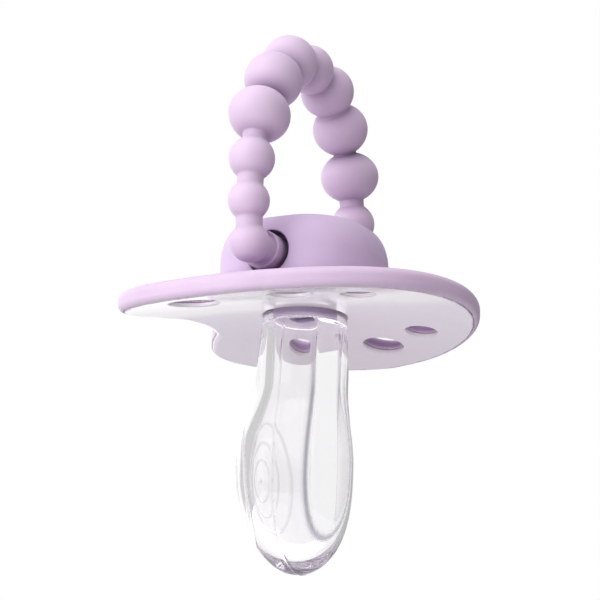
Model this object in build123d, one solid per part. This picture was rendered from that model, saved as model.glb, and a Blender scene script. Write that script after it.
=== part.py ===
"""Baby pacifier: curved vented shield, rounded housing, swinging beaded handle and hollow nipple.

Frame: +Z points away from the baby's face, +Y up towards the nose, +X across the face.
The origin is the middle of the whole object's bounding box. Until the last step the parts are
drawn round the middle of the shield's face side instead. Sizes are in millimetres.
"""

import os
from math import sqrt

from build123d import *

# Driving dimensions.
SHIELD_WIDTH = 43.0
SHIELD_BELOW = 23.05  # from the nipple's axis to the chin-side edge
SHIELD_THICK = 2.7
SHIELD_BEND = 89.0  # radius of the face side, about an axis along Y
NOTCH_Y = 15.3  # bottom of the nose notch
LOBE_X, LOBE_Y = 11.8, 20.6  # top of the lobe beside the notch
RIM_ROUND = 1.0
NIPPLE_LENGTH = 34.0
NECK_RADIUS = 5.55
NECK_BORE = 4.2
CAVITY_NECK = 4.05  # below the plug, so that the plug touches only its own round bore
HINGE_Y, HINGE_Z = 0.7, 6.05
HOUSING_TOP = 11.4

# Face layer, set into the shield's face side.
LAYER_THICK = 0.6
LAYER_INSET = 0.9

# Vents as (x, y, radius), each with a mirrored twin.
VENTS = [(14.4, 8.3, 3.1), (13.5, -5.0, 2.6), (9.6, -12.4, 2.0)]

# Housing.
HOUSING_X, HOUSING_Y = 10.1, 10.7  # half sizes
HOUSING_SHIFT = 0.45  # towards the nose
HOUSING_CORNER = 8.8
HOUSING_WALL = 1.5
HOUSING_ROUND = 2.2
DOORWAY_RADIUS = 2.95
BEARING_X = 6.9  # middle of each bearing wall
BEARING_THICK = 1.2
BEARING_HALF = 3.0
BEARING_FOOT = 4.0

# Parts stacked in the middle.
FLANGE_RADIUS = 7.2
FLANGE_THICK = 1.2
CAP_THICK = 1.0
PLUG_END = -0.8
PLUG_POCKET = (2.6, 3.6)
POCKET_CORNER = 0.4
POCKET_DEPTH = 2.6

# Nipple below the shield: shares of its length, half sizes at the bulb, and shifts to the palate.
SWELL_START, SWELL_END, WIDEST, CAVITY_END = 0.27, 0.59, 0.62, 0.91
NECK_TAPER = 0.45
BULB, BULB_SHIFT = (8.7, 7.35), 0.6
TIP_LEAN = 0.9  # away from the palate
CAVITY, CAVITY_SHIFT = (5.8, 5.3), 0.7
CAVITY_FLAT = 3.0  # from the middle to the cavity's flat side

# Handle and its axle.
AXLE_RADIUS = 1.0
AXLE_HALF = 10.8
RUNNING_GAP = 0.05
BOSS_RADIUS = 2.5
BOSS_INNER = 7.9
NECK_OF_BEADS = 1.75
# Beads of one leg as (x, z, radius), from the hinge to the top of the arch.
BEADS = [
    (14.3, HINGE_Z, 2.56),
    (14.95, 11.4, 2.67),
    (14.6, 17.15, 2.96),
    (13.1, 23.65, 4.05),
    (9.8, 29.65, 3.85),
    (5.55, 33.7, 3.72),
    (0.0, 34.9, 3.36),
]


def disc(radius, low, high, x=0.0, y=0.0):
    """Upright cylinder between two heights."""
    return Pos(x, y, low) * extrude(Circle(radius), high - low)


def rod_x(radius, low, high):
    """Cylinder on the hinge axis between two x positions."""
    return Pos(low, HINGE_Y, HINGE_Z) * (Rot(0, 90, 0) * extrude(Circle(radius), high - low))


def shield_outline(inset=0.0):
    """Half ellipse below, two round lobes and the nose notch above."""
    half = SHIELD_WIDTH / 2 - inset
    below = SHIELD_BELOW - inset
    lobe_y = LOBE_Y - inset
    notch_y = NOTCH_Y - inset
    chin = EllipticalCenterArc((0, 0), half, below, 180, arc_size=180)
    lobe = Spline(
        (half, 0),
        (0.92 * half, 0.56 * lobe_y),
        (0.75 * half, 0.89 * lobe_y),
        (LOBE_X, lobe_y),
        (0.65 * LOBE_X, notch_y + 3.4),
        (0.36 * LOBE_X, notch_y + 0.9),
        (0, notch_y),
        tangents=[(0, 1), (-1, 0)],
    )
    return make_face(Curve() + [chin, lobe, mirror(lobe, about=Plane.YZ)])


def bent_slab(low, high):
    """Everything between two heights of the shield's bend, measured at its middle."""
    length = 3 * SHIELD_WIDTH
    turn = Pos(0, 0, -SHIELD_BEND) * Rot(90, 0, 0)
    slab = Cylinder(SHIELD_BEND + high, length) - Cylinder(SHIELD_BEND + low, length)
    return turn * slab


def upright(face, height=15.0):
    """A face taken well past the shield on both sides."""
    return Pos(0, 0, -height) * extrude(face, 2 * height)


def vents():
    """The six through holes."""
    holes = []
    for x, y, radius in VENTS:
        for side in (1, -1):
            holes.append(disc(radius, -10, 10, side * x, y))
    return holes


def cut_through(body, tools):
    """Take each tool away in turn, since the tools cross one another."""
    for tool in tools:
        body = body - tool
    return body


def face_layer():
    """Thin glossy skin against the face."""
    layer = upright(shield_outline(LAYER_INSET)) & bent_slab(0, LAYER_THICK)
    return cut_through(layer, [*vents(), disc(NECK_RADIUS, -5, 5)])


def shield_plate():
    """Curved plate with a rounded rim, vents, and a seat for the nipple's flange."""
    plate = upright(shield_outline()) & bent_slab(0, SHIELD_THICK)
    rim = [e for e in plate.edges() if e.length > SHIELD_WIDTH / 2 and not on_wall(e)]
    plate = fillet(rim, RIM_ROUND)
    seat = disc(FLANGE_RADIUS, SHIELD_THICK - FLANGE_THICK, SHIELD_THICK + 1)
    pocket = upright(shield_outline(LAYER_INSET)) & bent_slab(-1, LAYER_THICK)
    return cut_through(plate, [pocket, *vents(), disc(NECK_RADIUS, -5, 5), seat])


def on_wall(edge):
    """True for an edge that runs up the rim rather than round it."""
    size = edge.bounding_box().size
    return size.Z > max(size.X, size.Y)


def housing_plan(shrink=0.0):
    """Rounded plan of the housing, moved in by a wall."""
    width = 2 * (HOUSING_X - shrink)
    depth = 2 * (HOUSING_Y - shrink)
    return Pos(0, HOUSING_SHIFT) * RectangleRounded(width, depth, HOUSING_CORNER - shrink)


def housing():
    """Hollow knob on the shield's front, with a round doorway each side and two bearing walls."""
    body = extrude(housing_plan(), HOUSING_TOP)
    body = fillet(body.edges().group_by(Axis.Z)[-1], HOUSING_ROUND)
    hollow = extrude(housing_plan(HOUSING_WALL), HOUSING_TOP - HOUSING_WALL)
    hollow = fillet(hollow.edges().group_by(Axis.Z)[-1], HOUSING_ROUND - HOUSING_WALL / 2)
    shell = body - hollow
    for side in (1, -1):
        wall = Pos(side * BEARING_X, HINGE_Y, (BEARING_FOOT + HOUSING_TOP - 1) / 2) * Box(
            BEARING_THICK, 2 * BEARING_HALF, HOUSING_TOP - 1 - BEARING_FOOT
        )
        shell += wall
    span = 2 * HOUSING_X + 4
    doorway = Pos(0, HOUSING_SHIFT - HINGE_Y, 0) * rod_x(DOORWAY_RADIUS, -span / 2, span / 2)
    between_doors = 2 * BEARING_X + BEARING_THICK
    keep = Pos(0, 0, HINGE_Z) * Box(between_doors, 4 * DOORWAY_RADIUS, 4 * HINGE_Z)
    shell -= doorway - keep
    shell -= rod_x(AXLE_RADIUS, -HOUSING_X, HOUSING_X)
    return shell - bent_slab(-SHIELD_THICK, SHIELD_THICK)


def axle():
    """Rod through both bearing walls, its ends standing out for the handle."""
    rod = rod_x(AXLE_RADIUS, -AXLE_HALF, AXLE_HALF)
    return chamfer(rod.edges(), 0.2)


def plug():
    """Cap over the nipple's flange with a spigot that spreads the neck, and a pocket in its end."""
    cap = disc(FLANGE_RADIUS, SHIELD_THICK, SHIELD_THICK + CAP_THICK)
    spigot = disc(NECK_BORE, PLUG_END, SHIELD_THICK)
    pocket = extrude(RectangleRounded(*PLUG_POCKET, POCKET_CORNER), POCKET_DEPTH)
    return cap + spigot - Pos(0, 0, PLUG_END) * pocket


def nipple_section(share, neck, bulb, shift, end):
    """Ellipse across the nipple's skin or cavity, at a share of the nipple's length below the face."""
    rise = min(1.0, max(0.0, (share - SWELL_START) / (SWELL_END - SWELL_START)))
    swell = rise * rise * (3 - 2 * rise)
    past = max(0.0, (share - WIDEST) / (end - WIDEST))
    close = sqrt(1 - past * past)
    tilt = min(1.0, max(0.0, (share - WIDEST) / (1 - WIDEST)))
    middle = shift * swell - TIP_LEAN * tilt * tilt * (3 - 2 * tilt)
    half_x, half_y = ((neck + (size - neck) * swell) * close for size in bulb)
    return Pos(0, middle, -share * NIPPLE_LENGTH) * Ellipse(half_x, half_y)


def nipple_body(start, neck, bulb, shift, end):
    """Smooth body through sections from the neck to a rounded tip."""
    shares = [0.1, 0.2, 0.3, 0.4, 0.5, WIDEST]
    shares += [WIDEST + (end - WIDEST) * part for part in (0.3, 0.55, 0.75, 0.88, 0.96, 0.99)]
    return loft([Circle(start)] + [nipple_section(s, neck, bulb, shift, end) for s in shares])


def nipple():
    """Hollow one-piece nipple with a neck through the shield and a flange on its seat."""
    body = nipple_body(NECK_RADIUS, NECK_RADIUS + NECK_TAPER, BULB, BULB_SHIFT, 1.0)
    body += disc(NECK_RADIUS, 0, SHIELD_THICK - FLANGE_THICK)
    body += disc(FLANGE_RADIUS, SHIELD_THICK - FLANGE_THICK, SHIELD_THICK)
    cavity = nipple_body(CAVITY_NECK, CAVITY_NECK, CAVITY, CAVITY_SHIFT, CAVITY_END)
    tongue_side = Box(4 * BULB[0], NIPPLE_LENGTH, 3 * NIPPLE_LENGTH)
    cavity -= Pos(0, -CAVITY_FLAT - NIPPLE_LENGTH / 2, 0) * tongue_side
    body -= cavity
    return body - disc(NECK_BORE, 2 * PLUG_END, SHIELD_THICK)


def handle():
    """Arch of beads with a round boss at each foot, bored for the axle."""
    leg = [Pos(x, HINGE_Y, z) * Sphere(radius) for x, z, radius in BEADS[:-1]]
    for (x0, z0, _), (x1, z1, _) in zip(BEADS[:3], BEADS[1:4]):
        run = Line((x0, HINGE_Y, z0), (x1, HINGE_Y, z1))
        neck = Plane(run @ 0, z_dir=run % 0) * Circle(NECK_OF_BEADS)
        leg.append(extrude(neck, run.length, dir=run % 0))
    boss = rod_x(BOSS_RADIUS, BOSS_INNER, BEADS[0][0])
    leg.append(fillet(boss.edges().sort_by(Axis.X)[0], 0.4))
    _, top_z, top_radius = BEADS[-1]
    whole = Pos(0, HINGE_Y, top_z) * Sphere(top_radius)
    for piece in leg:
        whole += piece
        whole += mirror(piece, about=Plane.YZ)
    bore = AXLE_RADIUS + RUNNING_GAP
    reach = AXLE_HALF + 0.3
    return whole - rod_x(bore, -reach, reach)


def centred(parts):
    """All parts moved together, so that the middle of their common box is the origin."""
    middle = Compound(list(parts.values())).bounding_box().center()
    return {name: Pos(-middle.X, -middle.Y, -middle.Z) * shape for name, shape in parts.items()}


def main():
    parts = {
        "shield_plate": shield_plate(),
        "face_layer": face_layer(),
        "housing": housing(),
        "pivot_axle": axle(),
        "retaining_plug": plug(),
        "nipple": nipple(),
        "beaded_handle": handle(),
    }
    os.makedirs("parts", exist_ok=True)
    for name, shape in centred(parts).items():
        export_step(shape, f"parts/{name}.step")


main()
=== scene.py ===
"""Looks of a baby pacifier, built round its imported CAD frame.

Every moulded piece is described as a field: a function of position that is negative inside the
material. Fields are joined and cut with rounded edges, as a mould would round them, and then meshed.
Lengths inside the fields are in millimetres from the middle of the shield's face side. There x runs
along the hinge, +y points to the notch for the nose, and +z to the handle.
"""

import math

import bpy
import numpy as np
from mathutils import Matrix, Vector


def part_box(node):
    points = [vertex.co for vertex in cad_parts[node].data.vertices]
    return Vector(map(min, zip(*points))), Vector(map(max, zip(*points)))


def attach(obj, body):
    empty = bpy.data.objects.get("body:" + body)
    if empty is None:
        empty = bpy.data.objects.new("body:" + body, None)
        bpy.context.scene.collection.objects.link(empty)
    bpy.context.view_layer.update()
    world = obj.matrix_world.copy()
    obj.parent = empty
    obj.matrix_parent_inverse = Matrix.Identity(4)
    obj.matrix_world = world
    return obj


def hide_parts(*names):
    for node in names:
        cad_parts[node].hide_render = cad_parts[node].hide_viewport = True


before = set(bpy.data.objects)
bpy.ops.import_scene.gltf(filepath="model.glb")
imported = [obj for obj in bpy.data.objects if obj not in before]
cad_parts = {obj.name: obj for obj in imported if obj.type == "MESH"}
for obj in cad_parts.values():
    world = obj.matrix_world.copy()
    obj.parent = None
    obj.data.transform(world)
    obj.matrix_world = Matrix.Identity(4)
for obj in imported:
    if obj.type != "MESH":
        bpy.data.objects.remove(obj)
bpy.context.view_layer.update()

MM = 0.001
THICK = 2.7  # of the shield
GAP = 0.03  # left between pieces side by side
HAIR = 0.01  # left between pieces that lie on each other


def face_middle():
    """Middle of the shield's face side in the frame: on the plug's axis, under the plate's top."""
    low, high = (np.array(corner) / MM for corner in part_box("retaining_plug"))
    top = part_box("shield_plate")[1][2] / MM
    return np.array([0.0, (low[1] + high[1]) / 2, top - THICK])


FACE = face_middle()


def box_mm(node):
    """Lowest and highest corner of a CAD node, in millimetres from the face's middle."""
    low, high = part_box(node)
    return np.array(low) / MM - FACE, np.array(high) / MM - FACE


# ---------------------------------------------------------------- sizes, from the frame

PLATE_LOW, PLATE_HIGH = box_mm("shield_plate")
HOUSE_LOW, HOUSE_HIGH = box_mm("housing")
AXLE_LOW, AXLE_HIGH = box_mm("pivot_axle")
PLUG_LOW, PLUG_HIGH = box_mm("retaining_plug")

HALF_WIDTH = PLATE_HIGH[0]
CHIN = -PLATE_LOW[1]
LOBE_TOP = PLATE_HIGH[1]
HINGE_Y, HINGE_Z = ((AXLE_LOW + AXLE_HIGH) / 2)[1:]
AXLE_RADIUS = (AXLE_HIGH[2] - AXLE_LOW[2]) / 2
NIPPLE_LENGTH = -box_mm("nipple")[0][2]
BEND_X = 89.0  # radius of the shield's bend across the face
BEND_Y = 480.0  # and its much gentler bend from nose to chin

VENTS = [(14.4, 8.3, 3.1), (13.5, -5.0, 2.6), (9.6, -12.4, 2.0)]  # x, y, radius of each on one side


# ---------------------------------------------------------------- fields


def length(*parts):
    """Euclidean length of a vector given by its parts."""
    return np.sqrt(sum(part * part for part in parts))


def join(a, b, fillet):
    """Union of two fields with a fillet in the corner between them."""
    blend = np.clip(0.5 + 0.5 * (b - a) / fillet, 0, 1)
    return b + (a - b) * blend - fillet * blend * (1 - blend)


def meet(a, b, rounding):
    """Part that two fields share, its edge rounded to a radius."""
    u = a + rounding
    v = b + rounding
    corner = length(np.maximum(u, 0), np.maximum(v, 0))
    return corner + np.minimum(np.maximum(u, v), 0) - rounding


def cut(a, tool, rounding):
    """Field a with the tool taken away and the edge left rounded."""
    return meet(a, -tool, rounding)


def slab(value, low, high):
    """Field of everything between two levels of a coordinate."""
    return np.abs(value - (low + high) / 2) - (high - low) / 2


def rod(p, start, end, radius):
    """Round rod between two points, with round ends."""
    start = np.array(start, float)
    run = np.array(end, float) - start
    rel = [p[i] - start[i] for i in range(3)]
    t = np.clip(sum(rel[i] * run[i] for i in range(3)) / run.dot(run), 0, 1)
    return length(*(rel[i] - t * run[i] for i in range(3))) - radius


def smooth_rise(value, start, end):
    """0 before start, 1 after end, smooth in between."""
    t = np.clip((value - start) / (end - start), 0, 1)
    return t * t * (3 - 2 * t)


def rounded_plan(x, y, half_x, half_y, corner):
    """Flat distance to a rectangle with round corners."""
    u = np.abs(x) - half_x + corner
    v = np.abs(y) - half_y + corner
    return length(np.maximum(u, 0), np.maximum(v, 0)) + np.minimum(np.maximum(u, v), 0) - corner


# ---------------------------------------------------------------- meshing


def edge_quads(inside, number, axis):
    """A quad round every grid edge along one axis that the surface crosses, facing outwards."""
    step_a = np.eye(3, dtype=int)[(axis + 1) % 3]
    step_b = np.eye(3, dtype=int)[(axis + 2) % 3]
    first = np.take(inside, range(inside.shape[axis] - 1), axis)
    second = np.take(inside, range(1, inside.shape[axis]), axis)
    edges = np.argwhere(first != second)
    ring = [edges - step_a - step_b, edges - step_b, edges, edges - step_a]
    quads = np.stack([number[tuple(corner.T)] for corner in ring], 1)
    flipped = ~first[tuple(edges.T)]
    quads[flipped] = quads[flipped][:, ::-1]
    return quads


def grid_surface(field, low, high, cell):
    """Surface net of a field: a vertex in each cell the surface crosses, a quad per crossed edge."""
    axes = [np.arange(low[i] - 2 * cell, high[i] + 3 * cell, cell) for i in range(3)]
    grid = np.meshgrid(*axes, indexing="ij")
    inside = field(grid) < 0
    cells = [n - 1 for n in inside.shape]
    corners = np.zeros(cells, np.int8)
    for start in np.ndindex(2, 2, 2):
        corners += inside[tuple(slice(a, a + n) for a, n in zip(start, cells))]
    crossed = (corners > 0) & (corners < 8)
    number = np.full(corners.shape, -1, np.int64)
    number[crossed] = np.arange(crossed.sum())
    where = np.argwhere(crossed)
    verts = np.stack([axes[i][where[:, i]] + cell / 2 for i in range(3)])
    return verts, np.concatenate([edge_quads(inside, number, axis) for axis in range(3)])


def gradient(field, p, step):
    """Central differences of a field at scattered points."""
    parts = []
    for i in range(3):
        ahead, behind = p.copy(), p.copy()
        ahead[i] += step
        behind[i] -= step
        parts.append((field(ahead) - field(behind)) / (2 * step))
    return np.stack(parts)


def evened(verts, quads):
    """Net with each vertex moved some way to the average of its neighbours."""
    total = np.zeros_like(verts)
    count = np.zeros(verts.shape[1])
    for a, b in ((0, 1), (1, 2), (2, 3), (3, 0)):
        for near, far in ((a, b), (b, a)):
            for i in range(3):
                total[i] += np.bincount(quads[:, near], verts[i][quads[:, far]], verts.shape[1])
            count += np.bincount(quads[:, near], minlength=verts.shape[1])
    return 0.4 * verts + 0.6 * total / np.maximum(count, 1)


def settle(field, verts, quads, cell, rounds=5):
    """Evens the net out and drops each vertex onto the field's surface, in turns."""
    for turn in range(rounds):
        if turn < rounds - 1:
            verts = evened(verts, quads)
        for _ in range(2):
            slope = gradient(field, verts, cell * 0.05)
            size = np.maximum((slope**2).sum(0), 1e-6)
            verts = verts - np.clip(field(verts) / size, -cell, cell) * slope
    return verts


def moulded(name, field, low, high, cell, mark=None):
    """Closed smooth mesh of a field, as a Blender object in metres.

    A mark is a function of position from 0 to 1 that the material can read at each vertex.
    """
    verts, quads = grid_surface(field, low, high, cell)
    verts = settle(field, verts, quads, cell)
    slope = gradient(field, verts, cell * 0.05)
    slope /= np.maximum(length(*slope), 1e-9)
    mesh = bpy.data.meshes.new(name)
    mesh.from_pydata(((verts.T + FACE) * MM).tolist(), [], quads.tolist())
    mesh.polygons.foreach_set("use_smooth", [True] * len(mesh.polygons))
    mesh.update()
    mesh.normals_split_custom_set_from_vertices(slope.T.tolist())
    if mark is not None:
        mesh.attributes.new("mark", "FLOAT", "POINT").data.foreach_set("value", mark(verts))
    piece = bpy.data.objects.new(name, mesh)
    bpy.context.scene.collection.objects.link(piece)
    return piece


# ---------------------------------------------------------------- shield


def through(points):
    """Smooth curve through all of the points but the first and the last."""
    knots = np.array(points)
    curve = []
    for i in range(1, len(knots) - 2):
        a, b, c, d = knots[i - 1 : i + 3]
        for t in np.linspace(0, 1, 24, endpoint=False):
            line = 2 * b + (c - a) * t + (2 * a - 5 * b + 4 * c - d) * t**2
            curve.append(0.5 * (line + (3 * b - a - 3 * c + d) * t**3))
    return np.array(curve)


def outline_table():
    """Outline as angle from the nose, radius there, and the radius's slope."""
    lobe_x = 11.8  # of the highest point beside the notch
    notch = 15.3  # from the middle to the deepest point of the notch
    points = [
        (-0.36 * lobe_x, notch + 0.9),
        (0, notch),
        (0.36 * lobe_x, notch + 0.9),
        (0.65 * lobe_x, notch + 3.4),
        (lobe_x, LOBE_TOP),
        (0.75 * HALF_WIDTH, 0.89 * LOBE_TOP),
        (0.92 * HALF_WIDTH, 0.56 * LOBE_TOP),
        (HALF_WIDTH, 0),
    ]
    for turn in np.radians(range(-15, -120, -15)):
        points.append((HALF_WIDTH * math.cos(turn), CHIN * math.sin(turn)))
    curve = through(points)
    angle = np.arctan2(curve[:, 0], curve[:, 1])
    even = np.linspace(0, math.pi, 721)
    radius = np.interp(even, angle, np.hypot(curve[:, 0], curve[:, 1]))
    kernel = np.exp(-(np.linspace(-2.5, 2.5, 13) ** 2))
    padded = np.concatenate([radius[6:0:-1], radius, radius[-2:-8:-1]])
    radius = np.convolve(padded, kernel / kernel.sum(), "valid")
    return even, radius, np.gradient(radius, even)


OUTLINE = outline_table()


def outline(x, y):
    """Flat distance to the shield's outline."""
    angle = np.arctan2(np.abs(x), y)
    radius = np.interp(angle, OUTLINE[0], OUTLINE[1])
    slope = np.interp(angle, OUTLINE[0], OUTLINE[2])
    return (np.hypot(x, y) - radius) / np.sqrt(1 + (slope / radius) ** 2)


def sag(x, y):
    """Height of the shield's face side."""
    return np.sqrt(BEND_X**2 - np.minimum(x * x, 900.0)) - BEND_X - y * y / (2 * BEND_Y)


RIM_ROUND = 1.05
LAYER_THICK = 0.6
LAYER_INSET = 0.8  # of the skin from the rim
NOTCH_INSET = 0.2  # and in the notch, where it runs almost to the edge
BORE = 5.55  # radius of the hole for the nipple's neck
SEAT_RADIUS, SEAT_DEPTH = 7.2, 1.2  # of the recess for the nipple's flange
VENT_FLARE, FLARE_DEPTH = 1.05, 1.8  # how much wider each vent gets, and below the front from where
VENT_DRIFT = 0.7  # how far the middle moves outwards, per millimetre of flare
VENT_ROUND = 0.35


def vent_tool(p, vent, reach):
    """Field of one vent's opening on each side, flared and drifting outwards towards the front."""
    x, y, z = p
    vx, vy, radius = vent
    flare = VENT_FLARE * smooth_rise(z - sag(x, y), THICK - FLARE_DEPTH, THICK) ** 1.5
    return np.hypot(np.abs(x) - vx - VENT_DRIFT * flare, y - vy) - radius - reach - flare


def vent_painted_shade(verts):
    """Painted shade on the wall of a vent: 1 there, fading to 0 at its two edges and beside it."""
    height = verts[2] - sag(verts[0], verts[1])
    nearest = np.min([vent_tool(verts, vent, 0.0) for vent in VENTS], axis=0)
    beside = 1 - smooth_rise(nearest, 0.05, 0.4)
    above_face = smooth_rise(height, 0.5, 1.0)
    below_front = 1 - smooth_rise(height, 1.9, 2.6)
    return beside * above_face * below_front


def seat_edge(x, y, edge):
    """Flat distance to the edge of the seat that the skin lies in."""
    notch = smooth_rise(y, 10, 15) * (1 - smooth_rise(np.abs(x), 9.5, 13))
    return edge + LAYER_INSET + (NOTCH_INSET - LAYER_INSET) * notch


def rim(edge, height):
    """Plate before anything is taken out: two parallel faces and a round rim."""
    return meet(edge, slab(height, 0, THICK), RIM_ROUND)


def shield_field(p):
    """Curved lilac plate with a round rim and vents, and seats for the skin and the nipple."""
    x, y, z = p
    height = z - sag(x, y)
    edge = outline(x, y)
    plate = rim(edge, height)
    for vent in VENTS:
        plate = cut(plate, vent_tool(p, vent, 0.0), VENT_ROUND)
    plate = cut(plate, meet(seat_edge(x, y, edge), slab(height, -2, LAYER_THICK), 0.05), 0.05)
    middle = np.hypot(x, y)
    plate = cut(plate, middle - BORE - GAP, 0.05)
    return cut(plate, meet(middle - SEAT_RADIUS, THICK - SEAT_DEPTH - z, 0.05), 0.05)


def skin_field(p):
    """Thin glossy skin on the face side, flush with the rim, with a soft edge at each opening."""
    x, y, z = p
    height = z - sag(x, y)
    edge = outline(x, y)
    skin = meet(seat_edge(x, y, edge) + GAP, height - LAYER_THICK + 2 * HAIR, 0.05)
    skin = meet(skin, rim(edge, height + GAP), 0.05)
    for vent in VENTS:
        skin = cut(skin, vent_tool(p, vent, 0.1), 0.22)
    return cut(skin, np.hypot(x, y) - BORE - 2 * HAIR, 0.12)


# ---------------------------------------------------------------- housing and plug

HOUSE_HALF_X = HOUSE_HIGH[0]
HOUSE_HALF_Y = (HOUSE_HIGH[1] - HOUSE_LOW[1]) / 2
HOUSE_Y = (HOUSE_HIGH[1] + HOUSE_LOW[1]) / 2
HOUSE_TOP = HOUSE_HIGH[2]
HOUSE_CORNER = 8.8
WALL = 1.5
DOORWAY_RADIUS = 2.95
BEARING_X, BEARING_THICK = 6.9, 1.2
BEARING_HALF_Y, BEARING_BOTTOM = 3.0, 4.0


def knob(p, inset):
    """Rounded block of the housing, moved in by a wall: wide corners and a tall soft shoulder."""
    x, y, z = p
    half_x, half_y = HOUSE_HALF_X - inset, HOUSE_HALF_Y - inset
    side = rounded_plan(x, y - HOUSE_Y, half_x, half_y, HOUSE_CORNER - inset)
    reach, rise, power = 2.2, 4.2, 1.7  # of the shoulder: inwards, downwards, and its squareness
    u = np.maximum(side + reach, 0) / reach
    v = np.maximum(z - (HOUSE_TOP - inset) + rise, 0) / rise
    shoulder = ((u**power + v**power) ** (1 / power) - 1) * reach
    deep = np.maximum(side, z - (HOUSE_TOP - inset))
    return np.where(shoulder > -0.9 * reach, shoulder, deep)


def housing_field(p):
    """Hollow knob with a round doorway on each side and the bearing walls inside."""
    x, y, z = p
    shell = cut(knob(p, 0), knob(p, WALL), 0.05)
    turn = np.hypot(y - HINGE_Y, z - HINGE_Z)
    doorway = np.hypot(y - HOUSE_Y, z - HINGE_Z) - DOORWAY_RADIUS
    inner = BEARING_X + BEARING_THICK / 2 + 0.1 - np.abs(x)
    shell = cut(shell, np.maximum(doorway, inner), 0.15)
    wall = slab(np.abs(x), BEARING_X - BEARING_THICK / 2, BEARING_X + BEARING_THICK / 2)
    bearing = meet(wall, slab(y - HINGE_Y, -BEARING_HALF_Y, BEARING_HALF_Y), 0.2)
    bearing = meet(bearing, slab(z, BEARING_BOTTOM, HOUSE_TOP - 1), 0.1)
    shell = join(shell, bearing, 0.2)
    shell = cut(shell, turn - AXLE_RADIUS - HAIR, 0.05)
    return cut(shell, z - sag(x, y) - THICK - HAIR, 0.12)


SPIGOT_RADIUS = 4.15
POCKET_HALF, POCKET_CORNER, POCKET_DEPTH = (1.3, 1.8), 0.4, 2.6


def pocket_plan(p):
    """Flat distance to the pocket in the end of the spigot."""
    return rounded_plan(p[0], p[1], *POCKET_HALF, POCKET_CORNER)


def pocket_painted_shade(verts):
    """Painted shade in the pocket: 1 inside it and 0 on the rest of the plug, fading towards the
    pocket's rim.
    """
    return smooth_rise(verts[2] - PLUG_LOW[2], 0.1, 0.8) * (pocket_plan(verts) < 0.2)


def plug_field(p):
    """Cap on the flange and spigot in the nipple's neck, with the pocket in the spigot's end."""
    x, y, z = p
    middle = np.hypot(x, y)
    cap = meet(middle - SEAT_RADIUS, slab(z, THICK + HAIR, PLUG_HIGH[2]), 0.15)
    spigot = meet(middle - SPIGOT_RADIUS, slab(z, PLUG_LOW[2], THICK + 0.5), 0.25)
    pocket = np.maximum(pocket_plan(p), z - PLUG_LOW[2] - POCKET_DEPTH)
    return cut(np.minimum(cap, spigot), pocket, 0.12)


def axle_field(p):
    """Plain rod with rounded ends."""
    x, y, z = p
    turn = np.hypot(y - HINGE_Y, z - HINGE_Z)
    return meet(turn - AXLE_RADIUS + HAIR, slab(x, AXLE_LOW[0], AXLE_HIGH[0]), 0.2)


# ---------------------------------------------------------------- nipple

# Shares of the nipple's length below the shield.
SWELL_START, SWELL_END, WIDEST = 0.27, 0.59, 0.62
RING_MIDDLE, CAVITY_END = 0.64, 0.91

BULB_HALF, BULB_SHIFT = (8.7, 7.35), 0.6  # the shift is towards the palate, which is +y
CAVITY_NECK, CAVITY_HALF, CAVITY_SHIFT = 4.05, (5.8, 5.3), 0.7
CAVITY_FLAT = 3.0  # from the axis to the cavity's flat side
MOUTH_RADIUS, MOUTH_DEPTH = 4.2, 1.2  # of the bore that the spigot fills
TIP_LEAN = 0.9  # away from the palate
SEAM_BACK = 0.9  # of the parting line at the bulb, away from the palate
SEAM_WIDTH, SEAM_HEIGHT = 0.13, 0.05
RINGS = (2.7, 4.7, 6.9)  # half heights of the raised ovals inside, on the cavity's palate side
RING_WIDTH, RING_LINE, RING_HEIGHT = 0.66, 0.2, 0.14
CREASE_WIDTH = 0.3


def drop_shape(p, neck, bulb, shift, end):
    """Neck, bulb and rounded tip as one smooth body below the shield."""
    x, y, z = p
    share = -z / NIPPLE_LENGTH
    swell = smooth_rise(share, SWELL_START, SWELL_END)
    half_x = neck + (bulb[0] - neck) * swell
    half_y = neck + (bulb[1] - neck) * swell
    past = np.maximum(share - WIDEST, 0) / (end - WIDEST)
    middle = shift * swell - TIP_LEAN * smooth_rise(share, WIDEST, 1)
    across = np.sqrt((x / half_x) ** 2 + ((y - middle) / half_y) ** 2 + past**2)
    return (across - 1) * np.minimum(half_x, half_y)


def rings(p):
    """Three ovals and a dot on the palate side, 1 along each line and 0 between them."""
    x, y, z = p
    oval = length(x / RING_WIDTH, z + RING_MIDDLE * NIPPLE_LENGTH)
    raised = sum(np.exp(-(((oval - ring) / RING_LINE) ** 2)) for ring in RINGS)
    return (raised + np.exp(-((oval / (2 * RING_LINE)) ** 2))) * smooth_rise(y, 1.0, 3.0)


def seam(p):
    """Parting line of the mould, down both sides of the bulb."""
    share = -p[2] / NIPPLE_LENGTH
    back = SEAM_BACK * smooth_rise(share, SWELL_START, WIDEST)
    return np.exp(-(((p[1] + back) / SEAM_WIDTH) ** 2)) * smooth_rise(share, 0.02, 0.1)


def nipple_skin(p):
    """Outside of the nipple, without its flange."""
    share = np.clip(-p[2] / NIPPLE_LENGTH, 0, 1.2)
    stem = BORE - 0.05 + 0.5 * smooth_rise(share, -0.05, 0.25)
    return drop_shape(p, stem, BULB_HALF, BULB_SHIFT, 1.0) - SEAM_HEIGHT * seam(p)


def hollow(p):
    """Cavity before its flat side is cut, as a drop like the outside."""
    return drop_shape(p, CAVITY_NECK, CAVITY_HALF, CAVITY_SHIFT, CAVITY_END)


def crease(p):
    """1 along the two edges of the cavity's flat side, 0 away from them and up in the neck."""
    below_neck = smooth_rise(-p[2] / NIPPLE_LENGTH, 0.1, 0.35)
    return below_neck * np.exp(-(((hollow(p) + p[1] + CAVITY_FLAT) / CREASE_WIDTH) ** 2))


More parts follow.
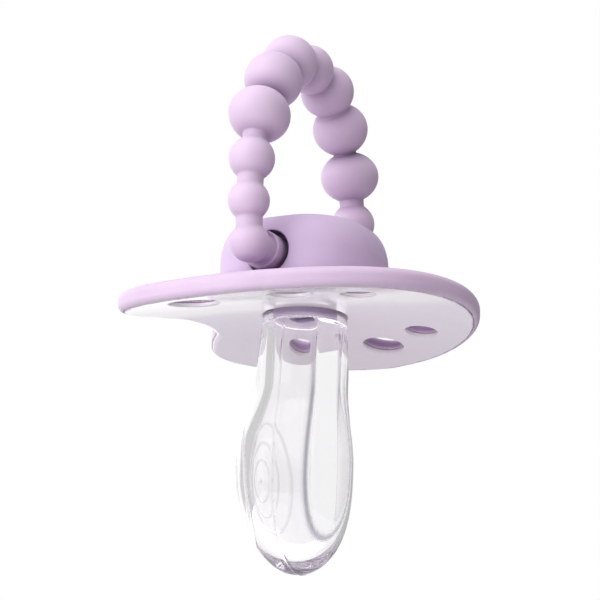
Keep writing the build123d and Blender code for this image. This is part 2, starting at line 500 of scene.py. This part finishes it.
def nipple_frost_and_shade(verts):
    """Frost of the silicone, whose grey also paints shade along its lines: full in the creases, some
    on the rings, a trace on the seam.
    """
    inside = nipple_skin(verts) < -0.6  # more than this below the outside is the cavity's wall
    return np.where(inside, np.maximum(0.42 * rings(verts), crease(verts)), 0.2 * seam(verts))


def nipple_field(p):
    """Clear nipple: flange, neck, lopsided bulb with a parting line, D-shaped cavity with rings."""
    x, y, z = p
    skin = nipple_skin(p)
    skin = meet(skin, slab(z, -2 * NIPPLE_LENGTH, THICK - HAIR), 0.1)
    flange_level = slab(z, THICK - SEAT_DEPTH + 2 * HAIR, THICK - HAIR)
    flange = meet(np.hypot(x, y) - SEAT_RADIUS + GAP, flange_level, 0.15)
    skin = join(skin, flange, 0.15)
    cavity = meet(hollow(p) + RING_HEIGHT * rings(p), -y - CAVITY_FLAT, 0.5)
    mouth = np.maximum(np.hypot(x, y) - MOUTH_RADIUS, -MOUTH_DEPTH - z)
    return cut(skin, np.minimum(cavity, mouth), 0.1)


# ---------------------------------------------------------------- handle

# Beads of one leg as (x, z, radius, flattening along the arch).
BEADS = [
    (14.3, HINGE_Z, 2.56, 1.0),
    (14.95, 11.4, 2.67, 1.0),
    (14.6, 17.15, 2.96, 1.0),
    (13.1, 23.65, 4.05, 0.88),
    (9.8, 29.65, 3.85, 0.95),
    (5.55, 33.7, 3.72, 0.95),
    (0.0, 34.9, 3.36, 1.0),
]
BELOW_FOOT = (13.6, 0.0)  # where the arch would go on below its lowest bead
BEAD_FILLET = 0.35
BEAD_NECK, NECK_FILLET = 1.7, 0.16
BOSS_RADIUS, BOSS_INNER, BOSS_OUTER = 2.5, 7.9, 11.4
SHANK_RADIUS, FOOT_FILLET = 1.9, 0.25
AXLE_PLAY, AXLE_END_PLAY = 0.05, 0.3
LEAN = 0.0145  # of the arch towards the nose, per millimetre above the hinge


def mirrored(bead):
    """The same bead on the other leg."""
    return (-bead[0], *bead[1:])


def bead_field(p, here, before, after):
    """One bead, pressed a little flatter along the run of the arch."""
    x, z, radius, flat = here
    run = np.array([after[0] - before[0], after[1] - before[1]])
    run /= np.hypot(*run)
    along = (p[0] - x) * run[0] + (p[2] - z) * run[1]
    across = (p[2] - z) * run[0] - (p[0] - x) * run[1]
    return (length(along / flat, across, p[1]) - radius) * flat


def arch_field(q):
    """Beads of one leg up to the first past the top, and the short necks between the lower ones."""
    around = [BELOW_FOOT, *BEADS, mirrored(BEADS[-2])]
    arch = None
    for i, bead in enumerate(BEADS):
        one = bead_field(q, bead, around[i], around[i + 2])
        arch = one if arch is None else join(arch, one, BEAD_FILLET)
    for a, b in zip(BEADS[:3], BEADS[1:4]):
        neck = rod(q, (a[0], 0, a[1]), (b[0], 0, b[1]), BEAD_NECK)
        arch = join(arch, neck, NECK_FILLET)
    twin = bead_field(q, mirrored(BEADS[-2]), BEADS[-1], mirrored(BEADS[-3]))
    return join(arch, twin, BEAD_FILLET)


def handle_field(p):
    """Whole arch with the boss and shank at each foot, bored for the axle."""
    away = np.abs(p[0])
    arch = arch_field([away, p[1] - HINGE_Y - LEAN * np.maximum(p[2] - HINGE_Z, 0), p[2]])
    turn = np.hypot(p[1] - HINGE_Y, p[2] - HINGE_Z)
    boss = meet(turn - BOSS_RADIUS, slab(away, BOSS_INNER, BOSS_OUTER), 0.22)
    shank = np.maximum(turn - SHANK_RADIUS, slab(away, BOSS_OUTER - 1, BEADS[0][0]))
    arch = join(arch, join(boss, shank, FOOT_FILLET), FOOT_FILLET)
    bore = np.maximum(turn - AXLE_RADIUS - AXLE_PLAY, away - AXLE_HIGH[0] - AXLE_END_PLAY)
    return cut(arch, bore, 0.1)


# ---------------------------------------------------------------- materials

# Sockets of a Mix node: inputs for two numbers or two colours, and an output for each kind.
FACTOR, NUMBER_A, NUMBER_B, COLOUR_A, COLOUR_B = 0, 2, 3, 6, 7
NUMBER_OUT, COLOUR_OUT = 0, 2
NOISE_LOW, NOISE_HIGH = 0.3, 0.7  # nearly all of a noise's values lie between these


def linear(red, green, blue):
    """Scene colour of a screen colour given in 0-255."""
    parts = [c / 255 for c in (red, green, blue)]
    return [c / 12.92 if c < 0.04045 else ((c + 0.055) / 1.055) ** 2.4 for c in parts] + [1.0]


class Nodes:
    """Short way to add and wire shader nodes of one material."""

    def __init__(self, name):
        self.material = bpy.data.materials.new(name)
        self.material.use_nodes = True
        self.tree = self.material.node_tree
        self.shader = self.tree.nodes["Principled BSDF"]
        self.place = self.add("ShaderNodeTexCoord").outputs["Object"]

    def add(self, kind, **values):
        """A node with its properties set."""
        node = self.tree.nodes.new(kind)
        for key, value in values.items():
            setattr(node, key, value)
        return node

    def link(self, source, target):
        """A wire from a node's output to another's input."""
        self.tree.links.new(source, target)

    def noise(self, per_mm, detail=2.0):
        """Noise with a number of cells per millimetre."""
        noise = self.add("ShaderNodeTexNoise")
        noise.inputs["Scale"].default_value = per_mm / MM
        noise.inputs["Detail"].default_value = detail
        self.link(self.place, noise.inputs["Vector"])
        return noise.outputs["Fac"]

    def spread(self, value, low, high):
        """Noise value spread over a range."""
        node = self.add("ShaderNodeMapRange")
        node.inputs["From Min"].default_value = NOISE_LOW
        node.inputs["From Max"].default_value = NOISE_HIGH
        node.inputs["To Min"].default_value = low
        node.inputs["To Max"].default_value = high
        self.link(value, node.inputs["Value"])
        return node.outputs["Result"]

    def blend(self, value, first, second):
        """Colour between two, by a value; each is a plain colour or another node's output."""
        mix = self.add("ShaderNodeMix", data_type="RGBA")
        for socket, colour in ((COLOUR_A, first), (COLOUR_B, second)):
            if isinstance(colour, bpy.types.NodeSocket):
                self.link(colour, mix.inputs[socket])
            else:
                mix.inputs[socket].default_value = colour
        self.link(value, mix.inputs[FACTOR])
        return mix.outputs[COLOUR_OUT]

    def painted_crevice_shade(self, colour, deep, reach_mm):
        """Painted shade: colour that deepens where the surface is closed in by others."""
        open_sky = self.add("ShaderNodeAmbientOcclusion", samples=6)
        open_sky.inputs["Distance"].default_value = reach_mm * MM
        return self.blend(open_sky.outputs["AO"], deep, colour)

    def piped(self):
        """1 for light that has bounced along inside a clear wall, 0 for all other light."""
        path = self.add("ShaderNodeLightPath").outputs
        both = self.add("ShaderNodeMath", operation="MULTIPLY", use_clamp=True)
        self.link(path["Glossy Depth"], both.inputs[0])
        self.link(path["Transmission Depth"], both.inputs[1])
        return both.outputs["Value"]

    def bump(self, value, depth_mm, strength):
        """Surface relief from a value."""
        node = self.add("ShaderNodeBump")
        node.inputs["Strength"].default_value = strength
        node.inputs["Distance"].default_value = depth_mm * MM
        self.link(value, node.inputs["Height"])
        self.link(node.outputs["Normal"], self.shader.inputs["Normal"])

    def let_light_through(self, tint):
        """Straight, tinted passage for the light that falls on what lies behind the surface."""
        path = self.add("ShaderNodeLightPath").outputs
        either = self.add("ShaderNodeMath", operation="MAXIMUM")
        self.link(path["Is Shadow Ray"], either.inputs[0])
        self.link(path["Is Diffuse Ray"], either.inputs[1])
        passage = self.add("ShaderNodeBsdfTransparent")
        passage.inputs["Color"].default_value = tint
        mix = self.add("ShaderNodeMixShader")
        self.link(either.outputs["Value"], mix.inputs[0])
        self.link(self.shader.outputs["BSDF"], mix.inputs[1])
        self.link(passage.outputs["BSDF"], mix.inputs[2])
        self.link(mix.outputs["Shader"], self.tree.nodes["Material Output"].inputs["Surface"])

    def set(self, **values):
        """Values of the main shader's inputs, an underscore standing for a space in a name."""
        for key, value in values.items():
            self.shader.inputs[key.replace("_", " ")].default_value = value


# Colours as they look on a screen, 0-255.
# painted shade, in the crevices of the housing and handle and in the plug's pocket
PAINTED_SHADE_LILAC = (118, 82, 132)
# painted shade on the walls of the shield's vents
VENT_WALL_PAINTED_SHADE = (158, 128, 168)
PIPED_PAINTED_PALE = (240, 237, 240)  # painted pale of lilac pieces in light that comes along inside the silicone, a painted reflection in the tip
CLOUD = 7  # how much darker the cloudy tint gets
SKIN_PALE, SKIN_DEEP = (240, 238, 236), (234, 230, 231)
# the frosted grey is painted shade along the nipple's creases and rings
SILICONE, FROST_AND_PAINTED_SHADE = (252, 251, 252), (122, 124, 140)
SILICONE_PASSAGE = (248, 246, 249)  # what light falling through it onto other pieces takes on
PAPER_PALE, PAPER_DEEP, PAPER_THROWN = (244, 243, 245), (240, 239, 242), (150, 146, 152)

CREVICE_REACH = 3.0
FROST_ROUGH = 0.6


def lilac(name, shade, rough, soft, grain_mm=0.004, painted_shade_colour=None):
    """Moulded lilac silicone or plastic: faint cloudy tint, satin grain, a little light inside,
    painted shade on marked places, else in crevices, and painted pale where seen in light piped inside
    the clear silicone.
    """
    n = Nodes(name)
    darker = linear(*(c - CLOUD for c in shade))
    cloudy = n.blend(n.spread(n.noise(0.12), 0, 1), linear(*shade), darker)
    # Painted shade: the given colour on marked places, otherwise a deeper lilac in crevices.
    if painted_shade_colour:
        mark = n.add("ShaderNodeAttribute", attribute_name="mark").outputs["Fac"]
        tint = n.blend(mark, cloudy, linear(*painted_shade_colour))
    else:
        tint = n.painted_crevice_shade(cloudy, linear(*PAINTED_SHADE_LILAC), CREVICE_REACH)
    # Lilac is painted pale where it is seen in light piped inside the clear silicone.
    n.link(n.blend(n.piped(), tint, linear(*PIPED_PAINTED_PALE)), n.shader.inputs["Base Color"])
    n.link(n.spread(n.noise(0.5, 3), rough - 0.05, rough + 0.06), n.shader.inputs["Roughness"])
    n.bump(n.noise(9), grain_mm, 0.6)
    n.set(IOR=1.45, Subsurface_Weight=soft, Subsurface_Scale=1.2 * MM, Sheen_Weight=0.12)
    n.set(Subsurface_Radius=(1.0, 0.75, 0.95), Sheen_Roughness=0.4)
    return n.material


def milky_skin():
    """Glossy, nearly white skin with a trace of the lilac behind it and soft moulding waves."""
    n = Nodes("milky_skin")
    tint = n.blend(n.spread(n.noise(0.08), 0, 1), linear(*SKIN_PALE), linear(*SKIN_DEEP))
    n.link(tint, n.shader.inputs["Base Color"])
    n.link(n.spread(n.noise(0.3), 0.1, 0.2), n.shader.inputs["Roughness"])
    n.bump(n.noise(0.16), 0.05, 0.25)
    n.set(IOR=1.43, Coat_Weight=0.5, Coat_Roughness=0.06, Subsurface_Weight=0.15)
    n.set(Subsurface_Scale=0.8 * MM, Subsurface_Radius=(1.0, 0.9, 1.0))
    return n.material


def clear_silicone():
    """Water-clear silicone, glossy and very slightly uneven, rougher where it is frosted and greyer
    there as painted shade.
    """
    n = Nodes("clear_silicone")
    # Frost mark: rougher silicone, and grey as painted shade.
    frost_shade_mark = n.add("ShaderNodeAttribute", attribute_name="mark").outputs["Fac"]
    rough = n.add("ShaderNodeMath", operation="MULTIPLY_ADD")
    rough.inputs[1].default_value = FROST_ROUGH
    n.link(frost_shade_mark, rough.inputs[0])
    n.link(n.spread(n.noise(0.4), 0.0, 0.03), rough.inputs[2])
    n.link(rough.outputs["Value"], n.shader.inputs["Roughness"])
    n.link(n.blend(frost_shade_mark, linear(*SILICONE), linear(*FROST_AND_PAINTED_SHADE)), n.shader.inputs["Base Color"])
    n.bump(n.noise(0.2), 0.02, 0.15)
    n.set(IOR=1.41, Transmission_Weight=1.0)
    n.let_light_through(linear(*SILICONE_PASSAGE))
    return n.material


# ---------------------------------------------------------------- pieces

BODY = "soother"
COARSE = 1.0
MARGIN = 0.6  # of the meshed space round each CAD node's box


def add_piece(name, node, field, cell, material, body=BODY, mark=None):
    """Mesh a field over its CAD node's box and let it ride and stand for that node."""
    low, high = box_mm(node)
    piece = moulded(name, field, low - MARGIN, high + MARGIN, cell * COARSE, mark)
    piece.data.materials.append(material)
    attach(piece, body)
    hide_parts(node)


lilac_shield = lilac("lilac_shield", (220, 201, 221), 0.42, 0.25, painted_shade_colour=VENT_WALL_PAINTED_SHADE)
lilac_housing = lilac("lilac_housing", (217, 199, 223), 0.45, 0.2)
lilac_handle = lilac("lilac_handle", (225, 206, 226), 0.5, 0.3, 0.006)
lilac_plug = lilac("lilac_plug", (214, 197, 221), 0.4, 0.15, painted_shade_colour=PAINTED_SHADE_LILAC)

# The shield's and the plug's marks paint shade on the vent walls and in the pocket; the nipple's mark
# is frost with painted shade.
add_piece("shield_plate_moulded", "shield_plate", shield_field, 0.22, lilac_shield, mark=vent_painted_shade)
add_piece("face_skin", "face_layer", skin_field, 0.2, milky_skin())
add_piece("housing_shell", "housing", housing_field, 0.16, lilac_housing)
add_piece("plug_moulded", "retaining_plug", plug_field, 0.14, lilac_plug, mark=pocket_painted_shade)
add_piece("axle_rod", "pivot_axle", axle_field, 0.12, lilac_plug)
add_piece("nipple_clear", "nipple", nipple_field, 0.15, clear_silicone(), mark=nipple_frost_and_shade)
add_piece("handle_beads", "beaded_handle", handle_field, 0.16, lilac_handle, "handle")


# ---------------------------------------------------------------- studio

CAMERA_TURN, CAMERA_RISE, CAMERA_ROLL = -61.55, -15.33, 2.63  # degrees
CAMERA_AWAY = 248.9
AIM = (-0.86, 0.42, 2.04)  # from the face's middle
LENS = 113.9  # focal length


def look(turn, rise, roll=0.0):
    """Rotation of something that looks at the object from a direction round it, and that direction."""
    a, e = math.radians(turn), math.radians(rise)
    back = Vector((math.sin(a) * math.cos(e), -math.cos(a) * math.cos(e), math.sin(e)))
    right = (-back).cross(Vector((0, 0, 1))).normalized()
    up = right.cross(-back)
    base = Matrix((right, up, back)).transposed()
    return base @ Matrix.Rotation(math.radians(roll), 3, "Z"), back


def put_camera():
    """Camera below the shield and to one side, so that the face, the nipple and the arch all show."""
    data = bpy.data.cameras.new("camera")
    data.lens = LENS
    data.clip_start = 0.01
    camera = bpy.data.objects.new("camera", data)
    turn, back = look(CAMERA_TURN, CAMERA_RISE, CAMERA_ROLL)
    camera.matrix_world = turn.to_4x4()
    camera.location = (Vector(FACE) + Vector(AIM) + back * CAMERA_AWAY) * MM
    bpy.context.scene.collection.objects.link(camera)
    bpy.context.scene.camera = camera


def put_light(name, turn, rise, away, size, watts):
    """Square soft box aimed at the shield from a direction round it; lengths in metres."""
    data = bpy.data.lights.new(name, "AREA")
    data.size = size
    data.energy = watts
    light = bpy.data.objects.new(name, data)
    rotation, back = look(turn, rise)
    light.matrix_world = rotation.to_4x4()
    light.location = Vector(FACE) * MM + back * away
    light.visible_camera = False
    light.visible_transmission = False
    bpy.context.scene.collection.objects.link(light)


# What surrounds the object, for each kind of ray: a base brightness, patches that add to it, and a
# ceiling. Each patch: direction it is brightest in (turn, rise), where it starts and is full as the
# cosine of the angle from there, and its strength.
LIGHT_BASE, LIGHT_CEILING = 0.02, 2.0  # falls on the object: from the key's side, above and behind
LIGHT_PATCHES = [
    (CAMERA_TURN - 60, 5, 0.2, 0.95, 1.2),
    (CAMERA_TURN - 40, 48, 0.3, 0.95, 0.4),
    (CAMERA_TURN, 75, 0.3, 0.95, 1.1),
    (CAMERA_TURN + 180, 30, 0.3, 0.95, 0.5),
]
GLOSS_BASE, GLOSS_CEILING = 0.2, 1.4  # mirrored: a bright wall behind, a dimmer one at the key's side
GLOSS_PATCHES = [
    (CAMERA_TURN + 200, 0, 0.7, 0.98, 1.2),
    (CAMERA_TURN - 95, 0, 0.3, 0.95, 0.7),
]
CLEAR_BASE, CLEAR_CEILING = 0.16, 0.97  # seen through silicone: much the same two walls, wider
CLEAR_PATCHES = [
    (CAMERA_TURN + 158, 10, 0.6, 0.74, 0.84),
    (CAMERA_TURN - 125, 10, 0.35, 0.8, 0.45),
]
FILL_COLOUR = (0.95, 0.88, 1.0, 1.0)  # of the light on the object, as lilac surfaces throw it back


def patch(tree, turn, rise, start, end, strength):
    """Brightness that grows towards one direction."""
    _, towards = look(turn, rise)
    dot = tree.nodes.new("ShaderNodeVectorMath")
    dot.operation = "DOT_PRODUCT"
    tree.links.new(tree.nodes.new("ShaderNodeTexCoord").outputs["Generated"], dot.inputs[0])
    dot.inputs[1].default_value = towards
    ramp = tree.nodes.new("ShaderNodeMapRange")
    ramp.interpolation_type = "SMOOTHSTEP"
    ramp.inputs["From Min"].default_value = start
    ramp.inputs["From Max"].default_value = end
    ramp.inputs["To Max"].default_value = strength
    tree.links.new(dot.outputs["Value"], ramp.inputs["Value"])
    return ramp.outputs["Result"]


def surroundings(tree, base, patches, ceiling):
    """Base brightness with every patch added, up to a ceiling."""
    total = None
    for values in patches:
        plus = tree.nodes.new("ShaderNodeMath")
        plus.operation = "ADD"
        plus.inputs[0].default_value = base
        if total is not None:
            tree.links.new(total, plus.inputs[0])
        tree.links.new(patch(tree, *values), plus.inputs[1])
        total = plus.outputs["Value"]
    limit = tree.nodes.new("ShaderNodeMath")
    limit.operation = "MINIMUM"
    limit.inputs[1].default_value = ceiling
    tree.links.new(total, limit.inputs[0])
    return limit.outputs["Value"]


def choose(tree, which, value, otherwise):
    """One brightness for some of the rays, another for the rest; None is full white."""
    mix = tree.nodes.new("ShaderNodeMix")
    mix.inputs[NUMBER_B].default_value = 1.0
    tree.links.new(which, mix.inputs[FACTOR])
    tree.links.new(otherwise, mix.inputs[NUMBER_A])
    if value is not None:
        tree.links.new(value, mix.inputs[NUMBER_B])
    return mix.outputs[NUMBER_OUT]


def put_world():
    """Studio round the object: plain white to the camera, walls and dark gaps to all other rays."""
    world = bpy.data.worlds.new("studio")
    bpy.context.scene.world = world
    world.use_nodes = True
    tree = world.node_tree
    path = tree.nodes.new("ShaderNodeLightPath").outputs
    light = surroundings(tree, LIGHT_BASE, LIGHT_PATCHES, LIGHT_CEILING)
    gloss = surroundings(tree, GLOSS_BASE, GLOSS_PATCHES, GLOSS_CEILING)
    clear = surroundings(tree, CLEAR_BASE, CLEAR_PATCHES, CLEAR_CEILING)
    mirrored_there = choose(tree, path["Transmission Depth"], clear, gloss)
    strength = choose(tree, path["Is Glossy Ray"], mirrored_there, light)
    strength = choose(tree, path["Is Transmission Ray"], clear, strength)
    strength = choose(tree, path["Is Camera Ray"], None, strength)
    tint = tree.nodes.new("ShaderNodeMix")
    tint.data_type = "RGBA"
    tint.inputs[COLOUR_A].default_value = (1, 1, 1, 1)
    tint.inputs[COLOUR_B].default_value = FILL_COLOUR
    tree.links.new(path["Is Diffuse Ray"], tint.inputs[FACTOR])
    background = tree.nodes["Background"]
    tree.links.new(tint.outputs[COLOUR_OUT], background.inputs["Color"])
    tree.links.new(strength, background.inputs["Strength"])


FLOOR_HALF, FLOOR_DEPTH = 3.0, -0.6  # in metres
FLOOR_GLOW = 0.05  # the floor's own light on all but the view through the silicone
FLOOR_GLOW_THROUGH = 0.8  # and in that view


def put_floor():
    """Plain pale floor of paper well below the object, which throws back less than it shows."""
    mesh = bpy.data.meshes.new("floor")
    signs = ((-1, -1), (1, -1), (1, 1), (-1, 1))
    corners = [(i * FLOOR_HALF, j * FLOOR_HALF, FLOOR_DEPTH) for i, j in signs]
    mesh.from_pydata(corners, [], [(0, 1, 2, 3)])
    floor = bpy.data.objects.new("floor", mesh)
    n = Nodes("pale_floor")
    paper = n.blend(n.spread(n.noise(0.01), 0, 1), linear(*PAPER_PALE), linear(*PAPER_DEEP))
    path = n.add("ShaderNodeLightPath").outputs
    tint = n.blend(path["Is Diffuse Ray"], paper, linear(*PAPER_THROWN))
    n.link(tint, n.shader.inputs["Base Color"])
    n.set(Roughness=0.8, Emission_Color=(1, 1, 1, 1))
    glow = n.add("ShaderNodeMapRange")
    glow.inputs["To Min"].default_value = FLOOR_GLOW
    glow.inputs["To Max"].default_value = FLOOR_GLOW_THROUGH
    n.link(path["Is Transmission Ray"], glow.inputs["Value"])
    n.link(glow.outputs["Result"], n.shader.inputs["Emission Strength"])
    mesh.materials.append(n.material)
    bpy.context.scene.collection.objects.link(floor)


def allow_bounces():
    """Enough bounces for light to get out of the thick clear silicone again."""
    cycles = bpy.context.scene.cycles
    cycles.max_bounces = 32
    cycles.transmission_bounces = 32
    cycles.glossy_bounces = 16
    cycles.transparent_max_bounces = 16


put_camera()
put_world()
put_floor()
put_light("key", CAMERA_TURN - 48, 14, 0.6, 0.4, 0.75)
put_light("under", CAMERA_TURN - 25, -48, 0.5, 0.5, 0.75)
allow_bounces()
bpy.context.scene.view_settings.view_transform = "Standard"
